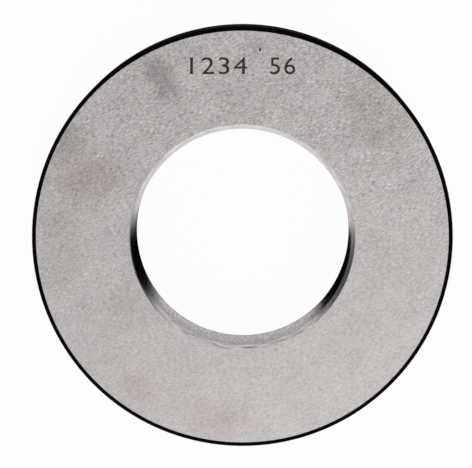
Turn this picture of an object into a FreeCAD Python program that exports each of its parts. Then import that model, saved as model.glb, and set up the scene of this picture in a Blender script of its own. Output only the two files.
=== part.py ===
import FreeCAD, Part
import math
import os

from FreeCAD import Vector

# Driving dimensions in millimetres, angles in degrees

# Ring blank
outer_diameter = 98.0
thickness = 24.0
edge_chamfer = 1.0

# Metric fine thread in the bore, with its flats as shares of the pitch
thread_major_diameter = 52.0
thread_pitch = 1.5
thread_flank_angle = 60.0
crest_flat_share = 1.0 / 4.0
root_flat_share = 1.0 / 8.0

# Countersink at both mouths of the bore
mouth_diameter = 52.5
mouth_included_angle = 120.0

# Sizes that follow from the driving dimensions
outer_radius = outer_diameter / 2.0
major_radius = thread_major_diameter / 2.0
mouth_radius = mouth_diameter / 2.0
flank_slope = math.tan(math.radians(thread_flank_angle / 2.0))
crest_flat = thread_pitch * crest_flat_share
root_flat = thread_pitch * root_flat_share
thread_depth = (thread_pitch - crest_flat - root_flat) / (2.0 * flank_slope)
minor_radius = major_radius - thread_depth
mouth_depth = (mouth_radius - minor_radius) / math.tan(math.radians(mouth_included_angle / 2.0))

axis_foot = Vector(0.0, 0.0, 0.0)
axis_direction = Vector(0.0, 0.0, 1.0)


def axial_outline(corners):
    """Closed outline in the axial plane through (radius, height) corners."""
    points = [Vector(radius, 0.0, height) for radius, height in corners]
    return Part.makePolygon(points + points[:1])


def gauge_ring():
    """The turned ring: rims chamfered, bore at the thread's crests, mouths countersunk."""
    outline = axial_outline([
        (minor_radius, mouth_depth),
        (mouth_radius, 0.0),
        (outer_radius - edge_chamfer, 0.0),
        (outer_radius, edge_chamfer),
        (outer_radius, thickness - edge_chamfer),
        (outer_radius - edge_chamfer, thickness),
        (mouth_radius, thickness),
        (minor_radius, thickness - mouth_depth),
    ])
    return Part.Face(outline).revolve(axis_foot, axis_direction, 360.0)


os.makedirs("parts", exist_ok=True)
gauge_ring().exportStep("parts/gauge_ring.step")
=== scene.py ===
"""Looks of a solid thread ring gauge that lies flat on a pale studio floor.

The ring is one closed surface: a turned outer skin, two flat ground faces, a helical thread
through the bore, and a shallow marking sunk into the upper face. Lengths are metres; sizes that a
drawing would give are written in millimetres and multiplied by MM. The marking is at +Y, and the
upper face looks along +Z.
"""

import logging
import math
from dataclasses import dataclass, field, replace
from enum import IntEnum

import bmesh
import bpy
import numpy as np
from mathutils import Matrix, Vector
from mathutils.geometry import delaunay_2d_cdt

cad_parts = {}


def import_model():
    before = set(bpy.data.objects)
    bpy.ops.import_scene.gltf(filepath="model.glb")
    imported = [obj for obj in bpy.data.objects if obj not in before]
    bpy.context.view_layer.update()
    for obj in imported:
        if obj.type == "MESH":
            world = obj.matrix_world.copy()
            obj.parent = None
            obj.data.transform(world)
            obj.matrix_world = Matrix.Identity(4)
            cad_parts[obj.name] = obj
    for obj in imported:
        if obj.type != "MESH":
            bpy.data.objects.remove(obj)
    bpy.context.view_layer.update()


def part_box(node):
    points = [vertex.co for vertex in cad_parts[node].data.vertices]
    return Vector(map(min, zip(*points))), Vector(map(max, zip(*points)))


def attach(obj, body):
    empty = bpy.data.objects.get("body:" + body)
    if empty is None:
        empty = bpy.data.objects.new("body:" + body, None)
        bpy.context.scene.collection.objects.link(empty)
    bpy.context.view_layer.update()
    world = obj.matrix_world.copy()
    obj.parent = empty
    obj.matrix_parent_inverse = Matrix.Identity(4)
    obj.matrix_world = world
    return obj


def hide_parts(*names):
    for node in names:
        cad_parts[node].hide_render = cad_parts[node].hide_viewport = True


MM = 0.001
log = logging.getLogger("thread_ring_gauge")


def linear(hex_colour: str) -> tuple[float, float, float, float]:
    """Turns an sRGB hex colour into linear light.

    Args:
        hex_colour: six hex digits after a hash mark.

    Returns:
        Red, green, blue and an alpha of one, each from 0 to 1.
    """
    channels = [int(hex_colour[i : i + 2], 16) / 255.0 for i in (1, 3, 5)]
    straight = [c / 12.92 if c <= 0.04045 else ((c + 0.055) / 1.055) ** 2.4 for c in channels]
    return (*straight, 1.0)


def add_node(
    tree: bpy.types.NodeTree,
    kind: str,
    settings: dict[str, object] | None = None,
    inputs: dict[str | int, object] | None = None,
) -> bpy.types.Node:
    """Adds one node with its settings, its input values and its links.

    Args:
        tree: the node tree that gets the node.
        kind: the node's type name in Blender.
        settings: the node's own properties by name.
        inputs: values by socket name or number; an output socket given here is linked.

    Returns:
        The new node.
    """
    node = tree.nodes.new(kind)
    for name, value in (settings or {}).items():
        setattr(node, name, value)
    for name, value in (inputs or {}).items():
        if isinstance(value, bpy.types.NodeSocket):
            tree.links.new(value, node.inputs[name])
        else:
            node.inputs[name].default_value = value
    return node


def start_material(
    name: str,
) -> tuple[bpy.types.Material, bpy.types.NodeTree, bpy.types.Node]:
    """Starts a material that has one principled shader.

    Args:
        name: the material's name.

    Returns:
        The material, its node tree and its shader.
    """
    material = bpy.data.materials.new(name)
    material.use_nodes = True
    return material, material.node_tree, material.node_tree.nodes["Principled BSDF"]


def boundary(triangles: np.ndarray) -> list[tuple[int, int]]:
    """Finds the edges that only one triangle has, in the way that it turns.

    Args:
        triangles: rows of three corner numbers, all turning the same way.

    Returns:
        Pairs of corner numbers.
    """
    edges = [tuple(e) for k in range(3) for e in triangles[:, [k, (k + 1) % 3]].tolist()]
    known = set(edges)
    return [(a, b) for a, b in edges if (b, a) not in known]


def facing_up(flat: np.ndarray, triangles: np.ndarray) -> np.ndarray:
    """Turns every flat triangle counterclockwise.

    A triangle a, b, c turns clockwise where the cross product of b - a and c - a is negative.

    Args:
        flat: points in the plane.
        triangles: rows of three corner numbers.

    Returns:
        The triangles, each facing up.
    """
    a, b, c = (flat[triangles[:, k]] for k in range(3))
    turn = (b[:, 0] - a[:, 0]) * (c[:, 1] - a[:, 1]) - (b[:, 1] - a[:, 1]) * (c[:, 0] - a[:, 0])
    return np.where((turn < 0.0)[:, None], triangles[:, ::-1], triangles)


def covered(points: np.ndarray, shapes: np.ndarray) -> np.ndarray:
    """Tells which points lie in any of the triangles.

    A point is inside when it is on the same side of all three edges.

    Args:
        points: points in the plane.
        shapes: triangles, as three points each.

    Returns:
        True for each point that is covered.
    """
    sides = []
    for k in range(3):
        start, edge = shapes[:, k], shapes[:, (k + 1) % 3] - shapes[:, k]
        away = points[:, None, :] - start[None, :, :]
        sides.append(edge[None, :, 0] * away[..., 1] - edge[None, :, 1] * away[..., 0])
    side = np.stack(sides)
    return ((side > 0.0).all(axis=0) | (side < 0.0).all(axis=0)).any(axis=1)


class Zone(IntEnum):
    """The finishes of the ring, in the order of its material slots."""

    GROUND_FACE = 0
    BLACK_EDGE_AND_CREST_SHADE = 1
    BLACK_SIDE_WITH_PAINTED_SHEEN = 2
    THREAD_FLANK = 3
    COUNTERSINK = 4
    SUNK_MARK = 5


@dataclass
class Patch:
    """A stretch of surface before all are welded into one mesh."""

    points: np.ndarray
    faces: np.ndarray
    zone: Zone


@dataclass(frozen=True)
class ThreadForm:
    """A metric thread of the 60 degree profile, right-hand.

    One pitch of the profile runs from root to root: flat root, straight flank, flat crest and
    straight flank. Its radius is a function of the share of the pitch alone.
    """

    major_radius: float = 26.0 * MM
    pitch: float = 1.5 * MM
    flank_half_angle: float = math.radians(30.0)
    root_share: float = 1.0 / 8.0
    crest_share: float = 1.0 / 4.0
    # Angle about the axis at which the groove runs out of either face.
    start: float = math.radians(242.0)
    flank_rows: int = 2
    columns: int = 360

    @property
    def depth(self) -> float:
        """Height of the thread from root to crest."""
        flank_share = 1.0 - self.root_share - self.crest_share
        return self.pitch * flank_share / 2.0 / math.tan(self.flank_half_angle)

    @property
    def minor_radius(self) -> float:
        """Radius at the crests."""
        return self.major_radius - self.depth

    @property
    def root_end(self) -> float:
        """Share of the pitch at which the flat of the root ends."""
        return self.root_share / 2.0

    @property
    def crest_start(self) -> float:
        """Share of the pitch at which the flat of the crest starts."""
        return 0.5 - self.crest_share / 2.0

    def radius(self, share: np.ndarray) -> np.ndarray:
        """Gives the radius along the profile, which is linear between its corners.

        Args:
            share: shares of the pitch from 0 to 1, counted from the middle of a root.

        Returns:
            The radius at each share.
        """
        corners = [self.root_end, self.crest_start, 1.0 - self.crest_start, 1.0 - self.root_end]
        radii = [self.major_radius, self.minor_radius, self.minor_radius, self.major_radius]
        return np.interp(share, corners, radii)

    def rows(self) -> np.ndarray:
        """Gives the shares of the pitch at which the mesh has its rows.

        Returns:
            Shares up one flank and down the other, with the corners of the profile.
        """
        up = np.linspace(self.root_end, self.crest_start, self.flank_rows + 1)
        return np.concatenate([up, 1.0 - up[::-1]])


@dataclass(frozen=True)
class Stain:
    """A thin film on the upper face: an ellipse with a soft, ragged edge that tints the steel."""

    centre: tuple[float, float]
    reach: tuple[float, float]
    turn: float
    tint: str
    # How far noise shifts the edge, and the shifted distances at which the film fades out; all
    # are in units of the reach.
    fray: float = 1.2
    fade: tuple[float, float] = (0.9, 1.6)

    def mask(
        self, tree: bpy.types.NodeTree, place: bpy.types.NodeSocket, ragged: bpy.types.NodeSocket
    ) -> bpy.types.NodeSocket:
        """Builds the mask of the patch on the face.

        With d the distance from the centre in units of the reach and n the noise, the value
        eases from one to zero while d + fray n goes through the fade.

        Args:
            tree: the material's node tree.
            place: object coordinates with their height measured from the upper face.
            ragged: noise from 0 to 1 that frays the edge.

        Returns:
            The patch's strength at each point.
        """
        own = add_node(
            tree,
            "ShaderNodeMapping",
            {"vector_type": "TEXTURE"},
            {
                "Vector": place,
                "Location": (*self.centre, 0.0),
                "Rotation": (0.0, 0.0, math.radians(self.turn)),
                "Scale": (*self.reach, 1.0 * MM),
            },
        ).outputs["Vector"]
        away = add_node(tree, "ShaderNodeVectorMath", {"operation": "LENGTH"}, {0: own})
        frayed = add_node(
            tree,
            "ShaderNodeMath",
            {"operation": "MULTIPLY_ADD"},
            {0: ragged, 1: self.fray, 2: away.outputs["Value"]},
        ).outputs[0]
        whole, gone = self.fade
        return add_node(
            tree,
            "ShaderNodeMapRange",
            {"interpolation_type": "SMOOTHSTEP"},
            {"Value": frayed, "From Min": whole, "From Max": gone, "To Min": 1.0, "To Max": 0.0},
        ).outputs[0]


@dataclass(frozen=True)
class GroundSteelFace:
    """Hardened gauge steel, surface ground and then lapped by hand.

    Grinding leaves fine slanting grain and lapping a dull, cloudy grey with small flecks, so the
    eye sees a matt mottled metal and no mirror. Handling has left a darker smudge and greenish and
    reddish patches on the upper face, and broad grey patches make its upper half darker.
    """

    upper_face: float
    dark: str = "#857F7F"
    light: str = "#E2DCDC"
    roughness: float = 0.46
    grain_angle: float = math.radians(33.0)
    grain_stretch: float = 3.4
    # Real grinding lines are about 0.05 mm wide; drawn at 0.27 mm because finer ones vanish.
    grain_width: float = 0.27 * MM
    fleck: float = 0.15 * MM
    fleck_share: float = 0.4
    grain_depth: float = 0.05 * MM
    grain_relief: float = 0.8
    cloud: float = 4.5 * MM
    cloud_stretch: float = 1.8
    cloud_sharpness: float = 0.95
    # Contrast of the grain and of the clouds, away from the numbers and next to them, and the
    # places along Y between which it rises.
    grain_contrast: tuple[float, float] = (0.52, 1.0)
    cloud_contrast: tuple[float, float] = (0.28, 0.54)
    contrast_rise: tuple[float, float] = (-25.0 * MM, 30.0 * MM)
    # Half the range of the noise that runs from the dark to the light colour.
    half_range: float = 0.36
    # Grain of the noise that frays the stains, then each one's centre, half axes, turn in degrees
    # and tint.
    stain_edge: float = 3.0 * MM
    stain_sharpness: float = 0.75
    stains: tuple[Stain, ...] = (
        # The first is a darker smudge, the next three plain grey patches darken the upper half, and
        # the rest tint the lower left reddish and greenish.
        Stain((-18.9 * MM, 37.0 * MM), (8.2 * MM, 4.3 * MM), -58.0, "#DEDCDC"),
        Stain((-40.5 * MM, 21.0 * MM), (8.0 * MM, 5.0 * MM), 50.0, "#EBE9E9"),
        Stain((-36.0 * MM, 14.0 * MM), (12.0 * MM, 7.0 * MM), 10.0, "#F0EDED"),
        Stain((31.0 * MM, 27.5 * MM), (16.0 * MM, 10.0 * MM), 125.0, "#F1EFEF"),
        Stain((-24.3 * MM, -35.0 * MM), (6.5 * MM, 4.0 * MM), -35.0, "#F9F3F0"),
        Stain((-6.0 * MM, -42.7 * MM), (10.0 * MM, 4.5 * MM), -5.0, "#FAF4F2"),
        Stain((-42.0 * MM, -1.0 * MM), (7.0 * MM, 14.0 * MM), 0.0, "#F5F6F2"),
        Stain((-27.3 * MM, -14.8 * MM), (6.0 * MM, 5.0 * MM), 0.0, "#F6F7F3"),
    )

    def build(self) -> bpy.types.Material:
        """Builds the material.

        The shade is grain times its contrast plus clouds times theirs, and mixes the two colours.

        Returns:
            The material.
        """
        material, tree, shader = start_material("ground_and_lapped_steel")
        place = add_node(tree, "ShaderNodeTexCoord").outputs["Object"]
        along = add_node(tree, "ShaderNodeSeparateXYZ", inputs={0: place}).outputs["Y"]
        low, high = self.contrast_rise
        side = add_node(
            tree, "ShaderNodeMapRange", inputs={"Value": along, "From Min": low, "From Max": high}
        ).outputs[0]
        grain_contrast, cloud_contrast = (
            add_node(
                tree,
                "ShaderNodeMath",
                {"operation": "MULTIPLY_ADD"},
                {0: side, 1: near - away, 2: away},
            ).outputs[0]
            for away, near in (self.grain_contrast, self.cloud_contrast)
        )
        grain = add_node(
            tree,
            "ShaderNodeMath",
            {"operation": "MULTIPLY"},
            {0: self.fine_grain(tree, place), 1: grain_contrast},
        ).outputs[0]
        shade = add_node(
            tree,
            "ShaderNodeMath",
            {"operation": "MULTIPLY_ADD"},
            {0: self.clouds(tree, place), 1: cloud_contrast, 2: grain},
        ).outputs[0]
        spread = add_node(
            tree,
            "ShaderNodeMapRange",
            inputs={"Value": shade, "From Min": -self.half_range, "From Max": self.half_range},
        ).outputs[0]
        colour = add_node(
            tree,
            "ShaderNodeMix",
            {"data_type": "RGBA"},
            {"Factor": spread, 6: linear(self.dark), 7: linear(self.light)},
        ).outputs[2]
        tree.links.new(self.stained(tree, place, colour), shader.inputs["Base Color"])
        shader.inputs["Metallic"].default_value = 1.0
        shader.inputs["Roughness"].default_value = self.roughness
        bump = add_node(
            tree,
            "ShaderNodeBump",
            inputs={"Strength": self.grain_relief, "Distance": self.grain_depth, "Height": grain},
        )
        tree.links.new(bump.outputs["Normal"], shader.inputs["Normal"])
        return material

    def slanted(
        self, tree: bpy.types.NodeTree, place: bpy.types.NodeSocket, stretch: float
    ) -> bpy.types.NodeSocket:
        """Turns coordinates to the way of the grinding and draws them out along it.

        Args:
            tree: the material's node tree.
            place: object coordinates.
            stretch: how many times longer than wide a speck becomes.

        Returns:
            The turned and stretched coordinates.
        """
        return add_node(
            tree,
            "ShaderNodeMapping",
            {"vector_type": "TEXTURE"},
            {
                "Vector": place,
                "Rotation": (0.0, 0.0, self.grain_angle),
                "Scale": (stretch, 1.0, 1.0),
            },
        ).outputs["Vector"]

    def fine_grain(
        self, tree: bpy.types.NodeTree, place: bpy.types.NodeSocket
    ) -> bpy.types.NodeSocket:
        """Adds the slanting grinding lines and the lapped flecks.

        Args:
            tree: the material's node tree.
            place: object coordinates.

        Returns:
            One value that spreads to both sides of zero.
        """
        way = self.slanted(tree, place, self.grain_stretch)
        lines, flecks = (
            add_node(
                tree,
                "ShaderNodeTexNoise",
                inputs={"Vector": vector, "Scale": 1.0 / width, "Detail": 1.0},
            ).outputs["Fac"]
            for vector, width in ((way, self.grain_width), (place, self.fleck))
        )
        both = add_node(
            tree,
            "ShaderNodeMath",
            {"operation": "MULTIPLY_ADD"},
            {0: flecks, 1: self.fleck_share, 2: lines},
        ).outputs[0]
        middle = 0.5 * (1.0 + self.fleck_share)
        return add_node(
            tree, "ShaderNodeMath", {"operation": "SUBTRACT"}, {0: both, 1: middle}
        ).outputs[0]

    def clouds(
        self, tree: bpy.types.NodeTree, place: bpy.types.NodeSocket
    ) -> bpy.types.NodeSocket:
        """Adds the clouds that lapping leaves, drawn out along the grain.

        Args:
            tree: the material's node tree.
            place: object coordinates.

        Returns:
            One value that spreads to both sides of zero.
        """
        noise = add_node(
            tree,
            "ShaderNodeTexNoise",
            inputs={
                "Vector": self.slanted(tree, place, self.cloud_stretch),
                "Scale": 1.0 / self.cloud,
                "Detail": 4.0,
                "Roughness": self.cloud_sharpness,
            },
        ).outputs["Fac"]
        return add_node(
            tree, "ShaderNodeMath", {"operation": "SUBTRACT"}, {0: noise, 1: 0.5}
        ).outputs[0]

    def stained(
        self,
        tree: bpy.types.NodeTree,
        place: bpy.types.NodeSocket,
        colour: bpy.types.NodeSocket,
    ) -> bpy.types.NodeSocket:
        """Lays the stains over a colour, one after the other.

        Args:
            tree: the material's node tree.
            place: object coordinates.
            colour: the clean steel's colour.

        Returns:
            The colour with its stains.
        """
        from_top = add_node(
            tree,
            "ShaderNodeMapping",
            inputs={"Vector": place, "Location": (0.0, 0.0, -self.upper_face)},
        ).outputs["Vector"]
        ragged = add_node(
            tree,
            "ShaderNodeTexNoise",
            inputs={
                "Vector": place,
                "Scale": 1.0 / self.stain_edge,
                "Detail": 4.0,
                "Roughness": self.stain_sharpness,
            },
        ).outputs["Fac"]
        for stain in self.stains:
            colour = add_node(
                tree,
                "ShaderNodeMix",
                {"data_type": "RGBA", "blend_type": "MULTIPLY"},
                {"Factor": stain.mask(tree, from_top, ragged), 6: colour, 7: linear(stain.tint)},
            ).outputs[2]
        return colour


@dataclass(frozen=True)
class BlackOxide:
    """Black oxide on turned steel: a thin, deep black, quite dull skin over faint turning marks.

    The photograph shows it without any gloss, even at the flattest angle.
    """

    name: str
    dark: str
    light: str
    roughness: float = 0.5
    specular: float = 0.0
    turning_feed: float = 0.5 * MM
    # How fast the marks change along their own way, next to across it.
    along_marks: float = 0.02
    mark_depth: float = 0.02 * MM
    mark_relief: float = 0.3

    def build(self) -> bpy.types.Material:
        """Builds the material.

        Returns:
            The material.
        """
        material, tree, shader = start_material(self.name)
        shader.inputs["Roughness"].default_value = self.roughness
        shader.inputs["Specular IOR Level"].default_value = self.specular
        place = add_node(tree, "ShaderNodeTexCoord").outputs["Object"]
        level = add_node(
            tree,
            "ShaderNodeMapping",
            inputs={"Vector": place, "Scale": (self.along_marks, self.along_marks, 1.0)},
        ).outputs["Vector"]
        marks = add_node(
            tree,
            "ShaderNodeTexNoise",
            inputs={"Vector": level, "Scale": 1.0 / self.turning_feed, "Detail": 2.0},
        ).outputs["Fac"]
        colour = add_node(
            tree,
            "ShaderNodeMix",
            {"data_type": "RGBA"},
            {"Factor": marks, 6: linear(self.dark), 7: linear(self.light)},
        ).outputs[2]
        tree.links.new(colour, shader.inputs["Base Color"])
        bump = add_node(
            tree,
            "ShaderNodeBump",
            inputs={"Strength": self.mark_relief, "Distance": self.mark_depth, "Height": marks},
        )
        tree.links.new(bump.outputs["Normal"], shader.inputs["Normal"])
        return material


# Chamfers and thread crests: the blacking as it came from the bath. On the crests that black
# is also painted shade that keeps the bore dark.
BLACK_EDGE_AND_CREST_SHADE = BlackOxide(name="black_oxide_edge_and_crest_shade", dark="#080809", light="#0C0C0D")

# Round side: the same blacking, drawn a little greyer along its turning marks as a painted sheen.
BLACK_SIDE_WITH_PAINTED_SHEEN = BlackOxide(name="black_oxide_side_painted_sheen", dark="#18181A", light="#303033")


@dataclass(frozen=True)
class StreakedSteel:
    """Bare bright steel with streaks that a tool has left in one direction.

    Across the streaks the shade changes within a fraction of a millimetre, along them hardly at
    all; the darker streaks are also a little rougher. They are strongest on the side away from
    the numbers. The colour also carries painted shade, darker towards the marked mouth as if lit
    from below, and a painted shadow over the last millimetres above the floor.
    """

    name: str
    dark: str
    light: str
    roughness: tuple[float, float]
    streak: float
    stretch: tuple[float, float, float]
    streak_sharpness: float = 0.6
    # Painted shade: the colour's factor at the marked mouth; painted shadow: its factor and height at
    # the foot.
    mouth_painted_shade: float = 1.0
    foot_painted_shadow: float = 1.0
    foot_painted_shadow_height: float = 2.5 * MM
    upper_face: float = 24.0 * MM
    # Half the noise range that runs from dark to light, away from the numbers and below them,
    # and the places along Y between which it widens.
    half_ranges: tuple[float, float] = (0.2, 0.5)
    widening: tuple[float, float] = (-20.0 * MM, 20.0 * MM)

    def build(self) -> bpy.types.Material:
        """Builds the material.

        Returns:
            The material.
        """
        material, tree, shader = start_material(self.name)
        shader.inputs["Metallic"].default_value = 1.0
        place = add_node(tree, "ShaderNodeTexCoord").outputs["Object"]
        parts = add_node(tree, "ShaderNodeSeparateXYZ", inputs={0: place}).outputs
        spread = self.streaks(tree, place, parts["Y"])
        colour = add_node(
            tree,
            "ShaderNodeMix",
            {"data_type": "RGBA"},
            {"Factor": spread, 6: linear(self.dark), 7: linear(self.light)},
        ).outputs[2]
        shaded = add_node(
            tree,
            "ShaderNodeHueSaturation",
            inputs={"Color": colour, "Value": self.shade(tree, parts["Z"])},
        ).outputs[0]
        tree.links.new(shaded, shader.inputs["Base Color"])
        smoothest, roughest = self.roughness
        rough = add_node(
            tree,
            "ShaderNodeMapRange",
            inputs={"Value": spread, "To Min": roughest, "To Max": smoothest},
        ).outputs[0]
        tree.links.new(rough, shader.inputs["Roughness"])
        return material

    def streaks(
        self, tree: bpy.types.NodeTree, place: bpy.types.NodeSocket, along: bpy.types.NodeSocket
    ) -> bpy.types.NodeSocket:
        """Adds the streaks: stretched noise, spread about its middle by the half range.

        Args:
            tree: the material's node tree.
            place: object coordinates.
            along: the place along Y.

        Returns:
            A value from zero, dark, to one, light.
        """
        drawn_out = add_node(
            tree, "ShaderNodeMapping", inputs={"Vector": place, "Scale": self.stretch}
        ).outputs["Vector"]
        noise = add_node(
            tree,
            "ShaderNodeTexNoise",
            inputs={
                "Vector": drawn_out,
                "Scale": 1.0 / self.streak,
                "Detail": 2.0,
                "Roughness": self.streak_sharpness,
            },
        ).outputs["Fac"]
        half_range = add_node(
            tree,
            "ShaderNodeMapRange",
            inputs={
                "Value": along,
                "From Min": self.widening[0],
                "From Max": self.widening[1],
                "To Min": self.half_ranges[0],
                "To Max": self.half_ranges[1],
            },
        ).outputs[0]
        lowest, highest = (
            add_node(tree, "ShaderNodeMath", {"operation": way}, {0: 0.5, 1: half_range}).outputs[0]
            for way in ("SUBTRACT", "ADD")
        )
        return add_node(
            tree,
            "ShaderNodeMapRange",
            inputs={"Value": noise, "From Min": lowest, "From Max": highest},
        ).outputs[0]

    def shade(
        self, tree: bpy.types.NodeTree, height: bpy.types.NodeSocket
    ) -> bpy.types.NodeSocket:
        """Multiplies the painted shade towards the marked mouth by the painted shadow at the foot.

        Args:
            tree: the material's node tree.
            height: the place along Z.

        Returns:
            A factor for the colour that paints that shade, one where the steel is not darkened.
        """
        upward = add_node(
            tree,
            "ShaderNodeMapRange",
            inputs={
                "Value": height,
                "From Max": self.upper_face,
                "To Min": 1.0,
                "To Max": self.mouth_painted_shade,
            },
        ).outputs[0]
        # Painted shadow over the lowest millimetres of the wall.
        foot = add_node(
            tree,
            "ShaderNodeMapRange",
            inputs={"Value": height, "From Max": self.foot_painted_shadow_height, "To Min": self.foot_painted_shadow},
        ).outputs[0]
        return add_node(
            tree, "ShaderNodeMath", {"operation": "MULTIPLY"}, {0: upward, 1: foot}
        ).outputs[0]


# Ground and lapped thread: smooth flanks, lapping streaks along the bore.
LAPPED_THREAD = StreakedSteel(
    name="lapped_thread_steel",
    dark="#CCC6C7",
    light="#F8F2F3",
    roughness=(0.1, 0.15),
    streak=0.35 * MM,
    stretch=(1.0, 1.0, 0.05),
    # Painted shade towards the marked mouth and a painted shadow at the foot, in the colour.
    mouth_painted_shade=0.74,
    foot_painted_shadow=0.6,
)

# Turned countersink: brighter and duller than the thread, with rings and chatter from the tool.
TURNED_COUNTERSINK = StreakedSteel(
    name="turned_countersink_steel",
    dark="#8D8585",
    light="#FAF4F3",
    roughness=(0.24, 0.34),
    streak=0.5 * MM,
    stretch=(0.14, 0.14, 2.6),
    half_ranges=(0.24, 0.4),
)


@dataclass(frozen=True)
class EtchedSteel:
    """Steel darkened by electrolytic etching: matt, brown-black, slightly uneven."""

    dark: str = "#0A0807"
    light: str = "#504843"
    roughness: float = 0.7
    specular: float = 0.2
    unevenness: float = 1.5 * MM

    def build(self) -> bpy.types.Material:
        """Builds the material.

        Returns:
            The material.
        """
        material, tree, shader = start_material("etched_steel")
        place = add_node(tree, "ShaderNodeTexCoord").outputs["Object"]
        patches = add_node(
            tree,
            "ShaderNodeTexNoise",
            inputs={"Vector": place, "Scale": 1.0 / self.unevenness, "Detail": 2.0},
        ).outputs["Fac"]
        colour = add_node(
            tree,
            "ShaderNodeMix",
            {"data_type": "RGBA"},
            {"Factor": patches, 6: linear(self.dark), 7: linear(self.light)},
        ).outputs[2]
        tree.links.new(colour, shader.inputs["Base Color"])
        shader.inputs["Roughness"].default_value = self.roughness
        shader.inputs["Specular IOR Level"].default_value = self.specular
        return material


@dataclass
class FaceMarking:
    """Plain generic numbers sunk into the upper face, with a nick and a pit from handling."""

    # Each group's numbers, and where it starts and ends along X.
    groups: tuple[tuple[str, float, float], ...] = (
        ("1234", -12.1 * MM, 1.1 * MM),
        ("56", 6.4 * MM, 12.3 * MM),
    )
    base_line: float = 37.9 * MM
    height: float = 3.95 * MM
    depth: float = 0.06 * MM
    # Share of the font's own spacing; the wider it is, the slimmer the numbers are drawn.
    spacing: float = 1.12
    curve_steps: int = 5
    # Centre, half width and half height of the nick and the pit.
    blemishes: tuple[tuple[float, float, float, float], ...] = (
        (4.1 * MM, 43.6 * MM, 0.24 * MM, 0.48 * MM),
        (5.9 * MM, 39.3 * MM, 0.16 * MM, 0.16 * MM),
    )
    blemish_corners: int = 9

    def numbers(self, text: str, left: float, right: float) -> tuple[np.ndarray, np.ndarray]:
        """Draws one group of numbers and scales it into its place.

        Args:
            text: the numbers.
            left: where they start along X.
            right: where they end along X.

        Returns:
            Corner points in the plane of the face, and triangles between them.
        """
        curve = bpy.data.curves.new("number_outline", "FONT")
        curve.body = text
        curve.resolution_u = self.curve_steps
        curve.space_character = self.spacing
        carrier = bpy.data.objects.new("number_outline", curve)
        bpy.context.scene.collection.objects.link(carrier)
        bpy.context.view_layer.update()
        mesh = bpy.data.meshes.new_from_object(carrier)
        mesh.calc_loop_triangles()
        places = np.empty((len(mesh.vertices), 3), np.float32)
        mesh.vertices.foreach_get("co", places.ravel())
        triangles = np.empty((len(mesh.loop_triangles), 3), np.int32)
        mesh.loop_triangles.foreach_get("vertices", triangles.ravel())
        bpy.data.objects.remove(carrier)
        bpy.data.curves.remove(curve)
        bpy.data.meshes.remove(mesh)
        flat = places[:, :2].astype(float)
        low, high = flat.min(axis=0), flat.max(axis=0)
        scale = np.array([right - left, self.height]) / (high - low)
        return (flat - low) * scale + np.array([left, self.base_line]), triangles

    def blemish(
        self, x: float, y: float, half_width: float, half_height: float
    ) -> tuple[np.ndarray, np.ndarray]:
        """Draws a small ellipse (x + a cos t, y + b sin t) as a fan of triangles.

        Args:
            x: its centre along X.
            y: its centre along Y.
            half_width: the half axis a.
            half_height: the half axis b.

        Returns:
            Corner points in the plane of the face, and triangles between them.
        """
        t = np.arange(self.blemish_corners) * (2.0 * math.pi / self.blemish_corners)
        fan = np.array([(0, k, k + 1) for k in range(1, self.blemish_corners - 1)])
        return np.column_stack([x + half_width * np.cos(t), y + half_height * np.sin(t)]), fan

    def shapes(self) -> tuple[np.ndarray, np.ndarray]:
        """Lays the numbers and the blemishes out as filled flat shapes.

        Returns:
            Corner points in the plane of the face, and triangles between them.
        """
        parts = [self.numbers(*group) for group in self.groups]
        parts += [self.blemish(*blemish) for blemish in self.blemishes]
        starts = np.cumsum([0] + [len(points) for points, _ in parts])
        triangles = [part + start for (_, part), start in zip(parts, starts)]
        return np.concatenate([points for points, _ in parts]), np.concatenate(triangles)


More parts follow.
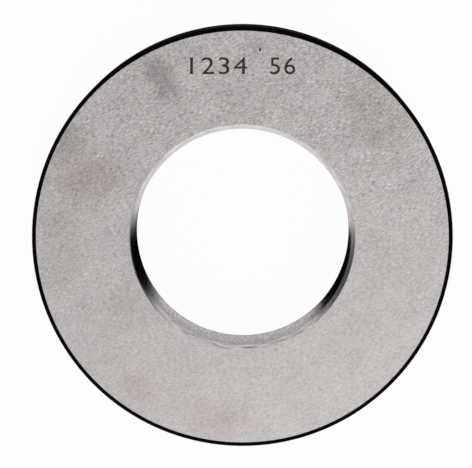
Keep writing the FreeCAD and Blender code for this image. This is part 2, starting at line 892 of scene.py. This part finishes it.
@dataclass
class GaugeRing:
    """The one-piece ring, drawn as one closed surface around the bore axis."""

    outer_radius: float
    thickness: float
    edge_chamfer: float = 1.0 * MM
    edge_break: float = 0.1 * MM
    mouth_radius: float = 26.25 * MM
    mouth_half_angle: float = math.radians(60.0)
    cone_rows: int = 2
    edge_samples: int = 400
    thread: ThreadForm = field(default_factory=ThreadForm)
    marking: FaceMarking = field(default_factory=FaceMarking)
    # The marking's window in the upper face, and half its columns.
    window_radii: tuple[float, float] = (36.0 * MM, 45.6 * MM)
    window_half_columns: int = 22
    window_tolerance: float = 1e-9
    # Whole turns of the thread's ribbon that are laid beyond each face, then held at the mouths.
    spare_turns: int = 2
    weld_distance: float = 0.001 * MM
    sharp_angle: float = math.radians(20.0)

    @property
    def angles(self) -> np.ndarray:
        """Angle of each column about the bore axis."""
        return np.arange(self.thread.columns) * (2.0 * math.pi / self.thread.columns)

    def turned(
        self,
        radius: np.ndarray,
        height: np.ndarray,
        zone: Zone,
        skip: np.ndarray | None = None,
    ) -> Patch:
        """Carries a profile once round the bore axis.

        A point is (r cos a, r sin a, z) for each row's radius r and height z and each angle a.

        Args:
            radius: radius by row, or by row and angle.
            height: height by row, or by row and angle.
            zone: the finish.
            skip: columns that are left out, if any.

        Returns:
            The surface, with its faces pointing to the left of the profile's way.
        """
        columns = self.thread.columns
        a = self.angles[None, :]
        r, z = (v.reshape(len(v), -1) * np.ones_like(a) for v in (radius, height))
        points = np.stack([r * np.cos(a), r * np.sin(a), z], axis=-1).reshape(-1, 3)
        i, j = np.meshgrid(np.arange(len(r) - 1), np.arange(columns), indexing="ij")
        if skip is not None:
            keep = ~np.isin(j, skip)
            i, j = i[keep], j[keep]
        after = (j + 1) % columns
        this, below = i * columns, (i + 1) * columns
        corners = [this + j, below + j, below + after, this + after]
        return Patch(points, np.stack([c.ravel() for c in corners], axis=-1), zone)

    def outer_skin(self) -> list[Patch]:
        """Turns the black outside: a round side between two chamfers, with its edges broken.

        Returns:
            The upper chamfer, the side and the lower chamfer.
        """
        r, t, c = self.outer_radius, self.thickness, self.edge_chamfer
        profile = self.broken([(r - c, t), (r, t - c), (r, c), (r - c, 0.0)])
        # Points 0 to 2 are the upper chamfer, 2 to 3 the side and 3 to 5 the lower chamfer.
        parts = ((0, 3, Zone.BLACK_EDGE_AND_CREST_SHADE), (2, 4, Zone.BLACK_SIDE_WITH_PAINTED_SHEEN), (3, 6, Zone.BLACK_EDGE_AND_CREST_SHADE))
        return [self.turned(*profile[first:last].T, zone) for first, last, zone in parts]

    def broken(self, corners: list[tuple[float, float]]) -> np.ndarray:
        """Breaks the inner corners of a profile with short straight steps.

        Args:
            corners: radius and height of each corner; the first and last are kept.

        Returns:
            The profile with two points in place of each inner corner.
        """
        points = [np.array(corners[0])]
        for before, corner, after in zip(corners, corners[1:], corners[2:]):
            middle = np.array(corner)
            for neighbour in (before, after):
                way = np.array(neighbour) - middle
                points.append(middle + way / np.linalg.norm(way) * self.edge_break)
        points.append(np.array(corners[-1]))
        return np.array(points)

    def faces(self) -> list[Patch]:
        """Turns both flat faces and fills the window that the upper one leaves for the marking.

        Returns:
            The upper face's three rings, the lower face and the window.
        """
        inner, outer = self.mouth_radius, self.outer_radius - self.edge_chamfer
        low, high = self.window_radii
        # A quarter turn from +X lies +Y, in the middle of the marking.
        quarter_turn, half = round(self.thread.columns / 4), self.window_half_columns
        window = np.arange(quarter_turn - half, quarter_turn + half)
        top, bottom = np.full(2, self.thickness), np.zeros(2)
        rings = [((inner, low), None), ((low, high), window), ((high, outer), None)]
        upper = [
            self.turned(np.array(radii), top, Zone.GROUND_FACE, skip) for radii, skip in rings
        ]
        lower = self.turned(np.array([outer, inner]), bottom, Zone.GROUND_FACE)
        return [*upper, lower, *self.marked_window(window)]

    def marked_window(self, window: np.ndarray) -> list[Patch]:
        """Fills the window with a flat that has the numbers sunk into it.

        Args:
            window: the columns that the turned face leaves open.

        Returns:
            The flat around the numbers, their floors and their walls.
        """
        edge_angles = self.angles[np.append(window, window[-1] + 1)]
        around = np.concatenate([edge_angles, edge_angles[::-1]])
        reach = np.repeat(self.window_radii, len(edge_angles))
        loop = np.column_stack([reach * np.cos(around), reach * np.sin(around)])
        numbers, shapes = self.marking.shapes()
        loop_edges = [(i, (i + 1) % len(loop)) for i in range(len(loop))]
        outline = [(a + len(loop), b + len(loop)) for a, b in boundary(shapes)]
        corners_in = [Vector(p) for p in np.concatenate([loop, numbers])]
        # The zero asks for triangles over the whole area, and the last value for their sources.
        result = delaunay_2d_cdt(corners_in, loop_edges + outline, [], 0, self.window_tolerance, True)
        flat = np.array([p[:] for p in result[0]])
        corners = facing_up(flat, np.array(result[2]))
        inner_arc = {i for i, sources in enumerate(result[3]) if min(sources) < len(edge_angles)}
        inside = ~np.isin(corners, list(inner_arc)).all(axis=1)
        sunk = inside & covered(flat[corners].mean(axis=1), numbers[shapes])
        top = np.column_stack([flat, np.full(len(flat), self.thickness)])
        floor = top - np.array([0.0, 0.0, self.marking.depth])
        land, floors = corners[inside & ~sunk], corners[sunk]
        rims = boundary(floors)
        walls = np.array([(a, b, b + len(top), a + len(top)) for a, b in rims])
        return [
            Patch(top, land, Zone.GROUND_FACE),
            Patch(floor, floors, Zone.SUNK_MARK),
            Patch(np.concatenate([top, floor]), walls, Zone.SUNK_MARK),
        ]

    def cone(self, depth: np.ndarray) -> np.ndarray:
        """Gives the countersink's radius at depths below its face."""
        return self.mouth_radius - depth * math.tan(self.mouth_half_angle)

    def thread_edge(self, upper: bool) -> np.ndarray:
        """Finds the depth at which the countersink runs into the thread, at each angle.

        Going in from the face, the cone narrows until the thread's radius is the larger. At
        height z and angle a from its start, the thread is at the share z / pitch - a / 2 pi.

        Args:
            upper: true for the marked face's mouth, false for the other.

        Returns:
            A depth below the face for each column.
        """
        form = self.thread
        cone_depth = (self.mouth_radius - form.minor_radius) / math.tan(self.mouth_half_angle)
        depth = np.linspace(0.0, cone_depth, self.edge_samples)
        height = self.thickness - depth if upper else depth
        turned = (self.angles[None, :] - form.start) / (2.0 * math.pi)
        share = (height[:, None] / form.pitch - turned) % 1.0
        excess = form.radius(share) - self.cone(depth)[:, None]
        # The cone ends at the crests' radius, so only rounding can leave it short of them there.
        excess[-1] = np.maximum(excess[-1], 0.0)
        after = np.argmax(excess >= 0.0, axis=0)
        column = np.arange(form.columns)
        short, over = excess[after - 1, column], excess[after, column]
        return depth[after - 1] + (depth[after] - depth[after - 1]) * short / (short - over)

    def threaded_bore(self) -> list[Patch]:
        """Winds the thread and turns both countersinks.

        The thread is one ribbon, a pitch wide, wound round the axis: its upper edge is its own
        lower edge one turn later. Its height at angle a from its start and share s is
        pitch (a / 2 pi + s), held between the two edges where the countersinks begin. The
        flats of its crests keep the black of the blank, because only the flanks were lapped; that
        black is also painted shade that keeps the bore dark.

        Returns:
            The flanks and roots, the crests, and the lower and upper countersinks.
        """
        form = self.thread
        shares = form.rows()
        per_turn, rows = form.columns, len(shares)
        turns = math.ceil(self.thickness / form.pitch) + 2 * self.spare_turns
        step = np.arange(turns * per_turn + 1)
        at = (step + round(form.start / (2.0 * math.pi) * per_turn)) % per_turn
        angle = self.angles[at][:, None]
        low, high = self.thread_edge(upper=False), self.thickness - self.thread_edge(upper=True)
        lowest, highest = (edge[at][:, None] for edge in (low, high))
        ideal = form.pitch * (step[:, None] / per_turn + shares[None, :] - self.spare_turns)
        height = np.clip(ideal, lowest, highest)
        edge_radius = self.cone(np.minimum(height, self.thickness - height))
        radius = np.where(height == ideal, form.radius(shares)[None, :], edge_radius)
        points = np.stack([radius * np.cos(angle), radius * np.sin(angle), height], axis=-1)
        i, j = np.meshgrid(np.arange(len(step) - 1 - per_turn), np.arange(rows), indexing="ij")
        wraps = (j + 1) // rows
        above = (i + wraps * per_turn) * rows + (j + 1) % rows
        corners = [i * rows + j, above, above + rows, (i + 1) * rows + j]
        faces = np.stack([c.ravel() for c in corners], axis=-1)
        inward = np.linspace(0.0, 1.0, self.cone_rows + 1)[:, None]
        lower_depth = inward * low[None, :]
        upper_depth = inward[::-1] * (self.thickness - high)[None, :]
        on_crest = j.ravel() == form.flank_rows
        return [
            Patch(points.reshape(-1, 3), faces[~on_crest], Zone.THREAD_FLANK),
            # The crests' blacking, which is also painted shade in the bore.
            Patch(points.reshape(-1, 3), faces[on_crest], Zone.BLACK_EDGE_AND_CREST_SHADE),
            self.turned(self.cone(lower_depth), lower_depth, Zone.COUNTERSINK),
            self.turned(self.cone(upper_depth), self.thickness - upper_depth, Zone.COUNTERSINK),
        ]

    def build(self, materials: list[bpy.types.Material]) -> bpy.types.Object:
        """Welds the patches into one mesh and gives it its finishes.

        Args:
            materials: one for each zone, in the zones' order.

        Returns:
            The ring.
        """
        patches = [*self.faces(), *self.outer_skin(), *self.threaded_bore()]
        starts = np.cumsum([0] + [len(p.points) for p in patches])
        points = np.concatenate([p.points for p in patches])
        polygons = [(p.faces + start).tolist() for p, start in zip(patches, starts)]
        zones = [np.full(len(p.faces), p.zone) for p in patches]
        mesh = bpy.data.meshes.new("threaded_ring")
        mesh.from_pydata(points.tolist(), [], [f for part in polygons for f in part])
        mesh.polygons.foreach_set("material_index", np.concatenate(zones).astype(np.int32))
        self.weld(mesh)
        for material in materials:
            mesh.materials.append(material)
        mesh.polygons.foreach_set("use_smooth", np.ones(len(mesh.polygons), bool))
        mesh.set_sharp_from_angle(angle=self.sharp_angle)
        ring = bpy.data.objects.new("threaded_ring", mesh)
        bpy.context.scene.collection.objects.link(ring)
        return ring

    def weld(self, mesh: bpy.types.Mesh) -> None:
        """Joins points that coincide and drops what has no area.

        Args:
            mesh: the mesh, changed in place.
        """
        work = bmesh.new()
        work.from_mesh(mesh)
        bmesh.ops.remove_doubles(work, verts=work.verts, dist=self.weld_distance)
        bmesh.ops.dissolve_degenerate(work, edges=work.edges, dist=self.weld_distance)
        loose = [v for v in work.verts if not v.link_faces]
        bmesh.ops.delete(work, geom=loose, context="VERTS")
        open_edges = [e for e in work.edges if len(e.link_faces) != 2]
        log.info("ring: %d faces, %d open edges", len(work.faces), len(open_edges))
        work.to_mesh(mesh)
        work.free()


@dataclass(frozen=True)
class DarkScreen:
    """A dark screen beside the ring, given by its compass direction and its height.

    The direction, counted from +X towards +Y, the half width and the softness are degrees; the
    lowest and highest edge are upward parts of a direction of length one.
    """

    direction: float
    half_width: float
    lowest: float
    highest: float
    soft: float
    soft_rise: float = 0.05

    def mask(
        self, tree: bpy.types.NodeTree, flat_way: bpy.types.NodeSocket, rise: bpy.types.NodeSocket
    ) -> bpy.types.NodeSocket:
        """Builds the mask of the screen over all directions.

        Args:
            tree: the world's node tree.
            flat_way: the level part of the direction, of length one.
            rise: the direction's upward part.

        Returns:
            A value of one on the screen and zero beside it.
        """
        a = math.radians(self.direction)
        facing = add_node(
            tree,
            "ShaderNodeVectorMath",
            {"operation": "DOT_PRODUCT"},
            {0: flat_way, 1: (math.cos(a), math.sin(a), 0.0)},
        ).outputs["Value"]
        across = add_node(
            tree,
            "ShaderNodeMapRange",
            {"interpolation_type": "SMOOTHSTEP"},
            {
                "Value": facing,
                "From Min": math.cos(math.radians(self.half_width + self.soft)),
                "From Max": math.cos(math.radians(self.half_width - self.soft)),
            },
        ).outputs[0]
        above, below = (
            add_node(
                tree,
                "ShaderNodeMapRange",
                {"interpolation_type": "SMOOTHSTEP"},
                {
                    "Value": rise,
                    "From Min": edge - self.soft_rise,
                    "From Max": edge + self.soft_rise,
                    "To Min": before,
                    "To Max": beyond,
                },
            ).outputs[0]
            for edge, before, beyond in ((self.lowest, 0.0, 1.0), (self.highest, 1.0, 0.0))
        )
        tall = add_node(tree, "ShaderNodeMath", {"operation": "MULTIPLY"}, {0: above, 1: below})
        return add_node(
            tree, "ShaderNodeMath", {"operation": "MULTIPLY"}, {0: across, 1: tall.outputs[0]}
        ).outputs[0]


@dataclass
class Studio:
    """A pale floor, soft light from all round, dark screens at both sides, and the camera."""

    ring_top: float
    # The camera's distance from the middle of the upper face, and its lean off the bore axis.
    distance: float = 966.0 * MM
    tilt: float = math.radians(4.4)
    swing: float = math.radians(0.23)
    pixels_per_metre: float = 4300.0
    frame: tuple[int, int] = (472, 468)
    # Where the middle of the upper face falls; perspective draws its outline 0.8 pixels higher.
    centre_pixel: tuple[float, float] = (242.3, 237.3)
    # Blender gives a sensor in millimetres.
    sensor_width: float = 36.0
    sight_end: float = 20.0
    # The floor, and how white it looks to the camera and in metal.
    floor_half: float = 2.0
    paper: str = "#F3F3F3"
    paper_roughness: float = 0.9
    floor_whiteness: float = 0.97
    floor_whiteness_reflected: float = 0.1
    # The room: its level towards -Y and +Y, and overhead past a band of upward parts.
    room: str = "#FFFFFF"
    side_levels: tuple[float, float] = (1.15, 0.75)
    zenith_level: float = 0.54
    zenith_rise: tuple[float, float] = (0.6, 0.85)
    # One soft screen on the right; on the left a crisp one, and a soft one that lets its end
    # fade out towards the numbers.
    screen_level: float = 0.0
    screens: tuple[DarkScreen, ...] = (
        DarkScreen(direction=9.5, half_width=21.5, lowest=-0.05, highest=0.85, soft=9.5),
        DarkScreen(direction=165.0, half_width=24.0, lowest=0.2, highest=0.72, soft=3.5),
        DarkScreen(direction=160.0, half_width=15.0, lowest=0.2, highest=0.72, soft=15.0),
    )
    # The soft box: its place and diameter in metres, and its power in watts.
    lamp_place: tuple[float, float, float] = (0.15, -0.34, 0.9)
    lamp_size: float = 0.5
    lamp_power: float = 1.75

    def camera(self) -> bpy.types.Object:
        """Places the camera on the line of sight of the photograph.

        Returns:
            The camera.
        """
        data = bpy.data.cameras.new("camera")
        width, height = self.frame
        data.sensor_fit = "HORIZONTAL"
        data.sensor_width = self.sensor_width
        data.lens = data.sensor_width * self.pixels_per_metre * self.distance / width
        data.shift_x = (width / 2.0 - self.centre_pixel[0]) / width
        data.shift_y = (self.centre_pixel[1] - height / 2.0) / width
        data.clip_end = self.sight_end
        camera = bpy.data.objects.new("camera", data)
        target = Vector((0.0, 0.0, self.ring_top))
        sight = Vector((math.tan(self.swing), math.tan(self.tilt), 1.0)).normalized()
        camera.location = target + sight * self.distance
        camera.rotation_euler = (-self.tilt, self.swing, 0.0)
        bpy.context.scene.collection.objects.link(camera)
        bpy.context.scene.camera = camera
        return camera

    def floor(self) -> bpy.types.Object:
        """Lays the floor that the ring rests on.

        To the camera it is nearly plain white, with a trace of the ring's shadow. Metal shows it
        a little whiter than its own shade, so that the bore keeps its dark inside.

        Returns:
            The floor.
        """
        half = self.floor_half
        mesh = bpy.data.meshes.new("floor")
        corners = [(-half, -half, 0.0), (half, -half, 0.0), (half, half, 0.0), (-half, half, 0.0)]
        mesh.from_pydata(corners, [], [(0, 1, 2, 3)])
        material, tree, paper = start_material("white_paper")
        paper.inputs["Base Color"].default_value = linear(self.paper)
        paper.inputs["Roughness"].default_value = self.paper_roughness
        paper.inputs["Specular IOR Level"].default_value = 0.0
        rays = add_node(tree, "ShaderNodeLightPath")
        glow = add_node(tree, "ShaderNodeEmission", inputs={"Strength": 1.0})
        indirect = add_node(
            tree,
            "ShaderNodeMath",
            {"operation": "MAXIMUM"},
            {0: rays.outputs["Is Glossy Ray"], 1: rays.outputs["Is Transmission Ray"]},
        )
        reflected = add_node(
            tree,
            "ShaderNodeMath",
            {"operation": "MULTIPLY"},
            {0: indirect.outputs[0], 1: self.floor_whiteness_reflected},
        )
        seen = add_node(
            tree,
            "ShaderNodeMath",
            {"operation": "MULTIPLY_ADD"},
            {0: rays.outputs["Is Camera Ray"], 1: self.floor_whiteness, 2: reflected.outputs[0]},
        )
        mixed = add_node(
            tree,
            "ShaderNodeMixShader",
            inputs={0: seen.outputs[0], 1: paper.outputs[0], 2: glow.outputs[0]},
        )
        tree.links.new(mixed.outputs[0], tree.nodes["Material Output"].inputs["Surface"])
        mesh.materials.append(material)
        floor = bpy.data.objects.new("floor", mesh)
        bpy.context.scene.collection.objects.link(floor)
        return floor

    def surroundings(self) -> None:
        """Lights the room from all round, with its screens dark, and white to the camera.

        The level of the sides is linear in the direction's part along Y, gives way to the
        zenith's level as the direction rises, and drops to the screens' level on a screen.
        """
        world = bpy.data.worlds.new("studio")
        bpy.context.scene.world = world
        world.use_nodes = True
        tree = world.node_tree
        background = tree.nodes["Background"]
        way = add_node(tree, "ShaderNodeTexCoord").outputs["Generated"]
        parts = add_node(tree, "ShaderNodeSeparateXYZ", inputs={0: way}).outputs
        level = add_node(
            tree, "ShaderNodeCombineXYZ", inputs={"X": parts["X"], "Y": parts["Y"]}
        ).outputs[0]
        flat_way = add_node(
            tree, "ShaderNodeVectorMath", {"operation": "NORMALIZE"}, {0: level}
        ).outputs[0]
        shade: bpy.types.NodeSocket | float = 0.0
        for screen in self.screens:
            shade = add_node(
                tree,
                "ShaderNodeMath",
                {"operation": "MAXIMUM"},
                {0: shade, 1: screen.mask(tree, flat_way, parts["Z"])},
            ).outputs[0]
        sides = add_node(
            tree,
            "ShaderNodeMapRange",
            inputs={
                "Value": parts["Y"],
                "From Min": -1.0,
                "From Max": 1.0,
                "To Min": self.side_levels[0],
                "To Max": self.side_levels[1],
            },
        ).outputs[0]
        low, high = self.zenith_rise
        upward = add_node(
            tree,
            "ShaderNodeMapRange",
            {"interpolation_type": "SMOOTHSTEP"},
            {"Value": parts["Z"], "From Min": low, "From Max": high},
        ).outputs[0]
        strength = sides
        rays = add_node(tree, "ShaderNodeLightPath")
        steps = (
            (upward, self.zenith_level),
            (shade, self.screen_level),
            (rays.outputs["Is Camera Ray"], 1.0),
        )
        for factor, value in steps:
            strength = add_node(
                tree,
                "ShaderNodeMix",
                {"data_type": "FLOAT"},
                {"Factor": factor, "A": strength, "B": value},
            ).outputs["Result"]
        background.inputs["Color"].default_value = linear(self.room)
        tree.links.new(strength, background.inputs["Strength"])

    def lamps(self) -> None:
        """Hangs one soft box above the ring, turned towards the middle of the floor."""
        data = bpy.data.lights.new("soft_box", "AREA")
        data.shape = "DISK"
        data.size = self.lamp_size
        data.energy = self.lamp_power
        lamp = bpy.data.objects.new("soft_box", data)
        lamp.location = self.lamp_place
        lamp.rotation_euler = (-lamp.location).to_track_quat("-Z", "Y").to_euler()
        bpy.context.scene.collection.objects.link(lamp)


def main() -> None:
    """Builds the ring in the frame, then the studio around it."""
    logging.basicConfig(level=logging.INFO, format="%(name)s: %(message)s")
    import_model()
    low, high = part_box("gauge_ring")
    ring = GaugeRing(outer_radius=(high.x - low.x) / 2.0, thickness=high.z - low.z)
    finishes = {
        Zone.GROUND_FACE: GroundSteelFace(upper_face=ring.thickness),
        Zone.BLACK_EDGE_AND_CREST_SHADE: BLACK_EDGE_AND_CREST_SHADE,
        Zone.BLACK_SIDE_WITH_PAINTED_SHEEN: BLACK_SIDE_WITH_PAINTED_SHEEN,
        Zone.THREAD_FLANK: replace(LAPPED_THREAD, upper_face=ring.thickness),
        Zone.COUNTERSINK: replace(TURNED_COUNTERSINK, upper_face=ring.thickness),
        Zone.SUNK_MARK: EtchedSteel(),
    }
    piece = ring.build([finishes[zone].build() for zone in Zone])
    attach(piece, "root")
    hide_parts("gauge_ring")
    log.info("built %s", piece.name)
    studio = Studio(ring_top=ring.thickness)
    studio.camera()
    studio.floor()
    studio.surroundings()
    studio.lamps()
    bpy.context.scene.view_settings.view_transform = "Standard"


if __name__ == "__main__":
    main()
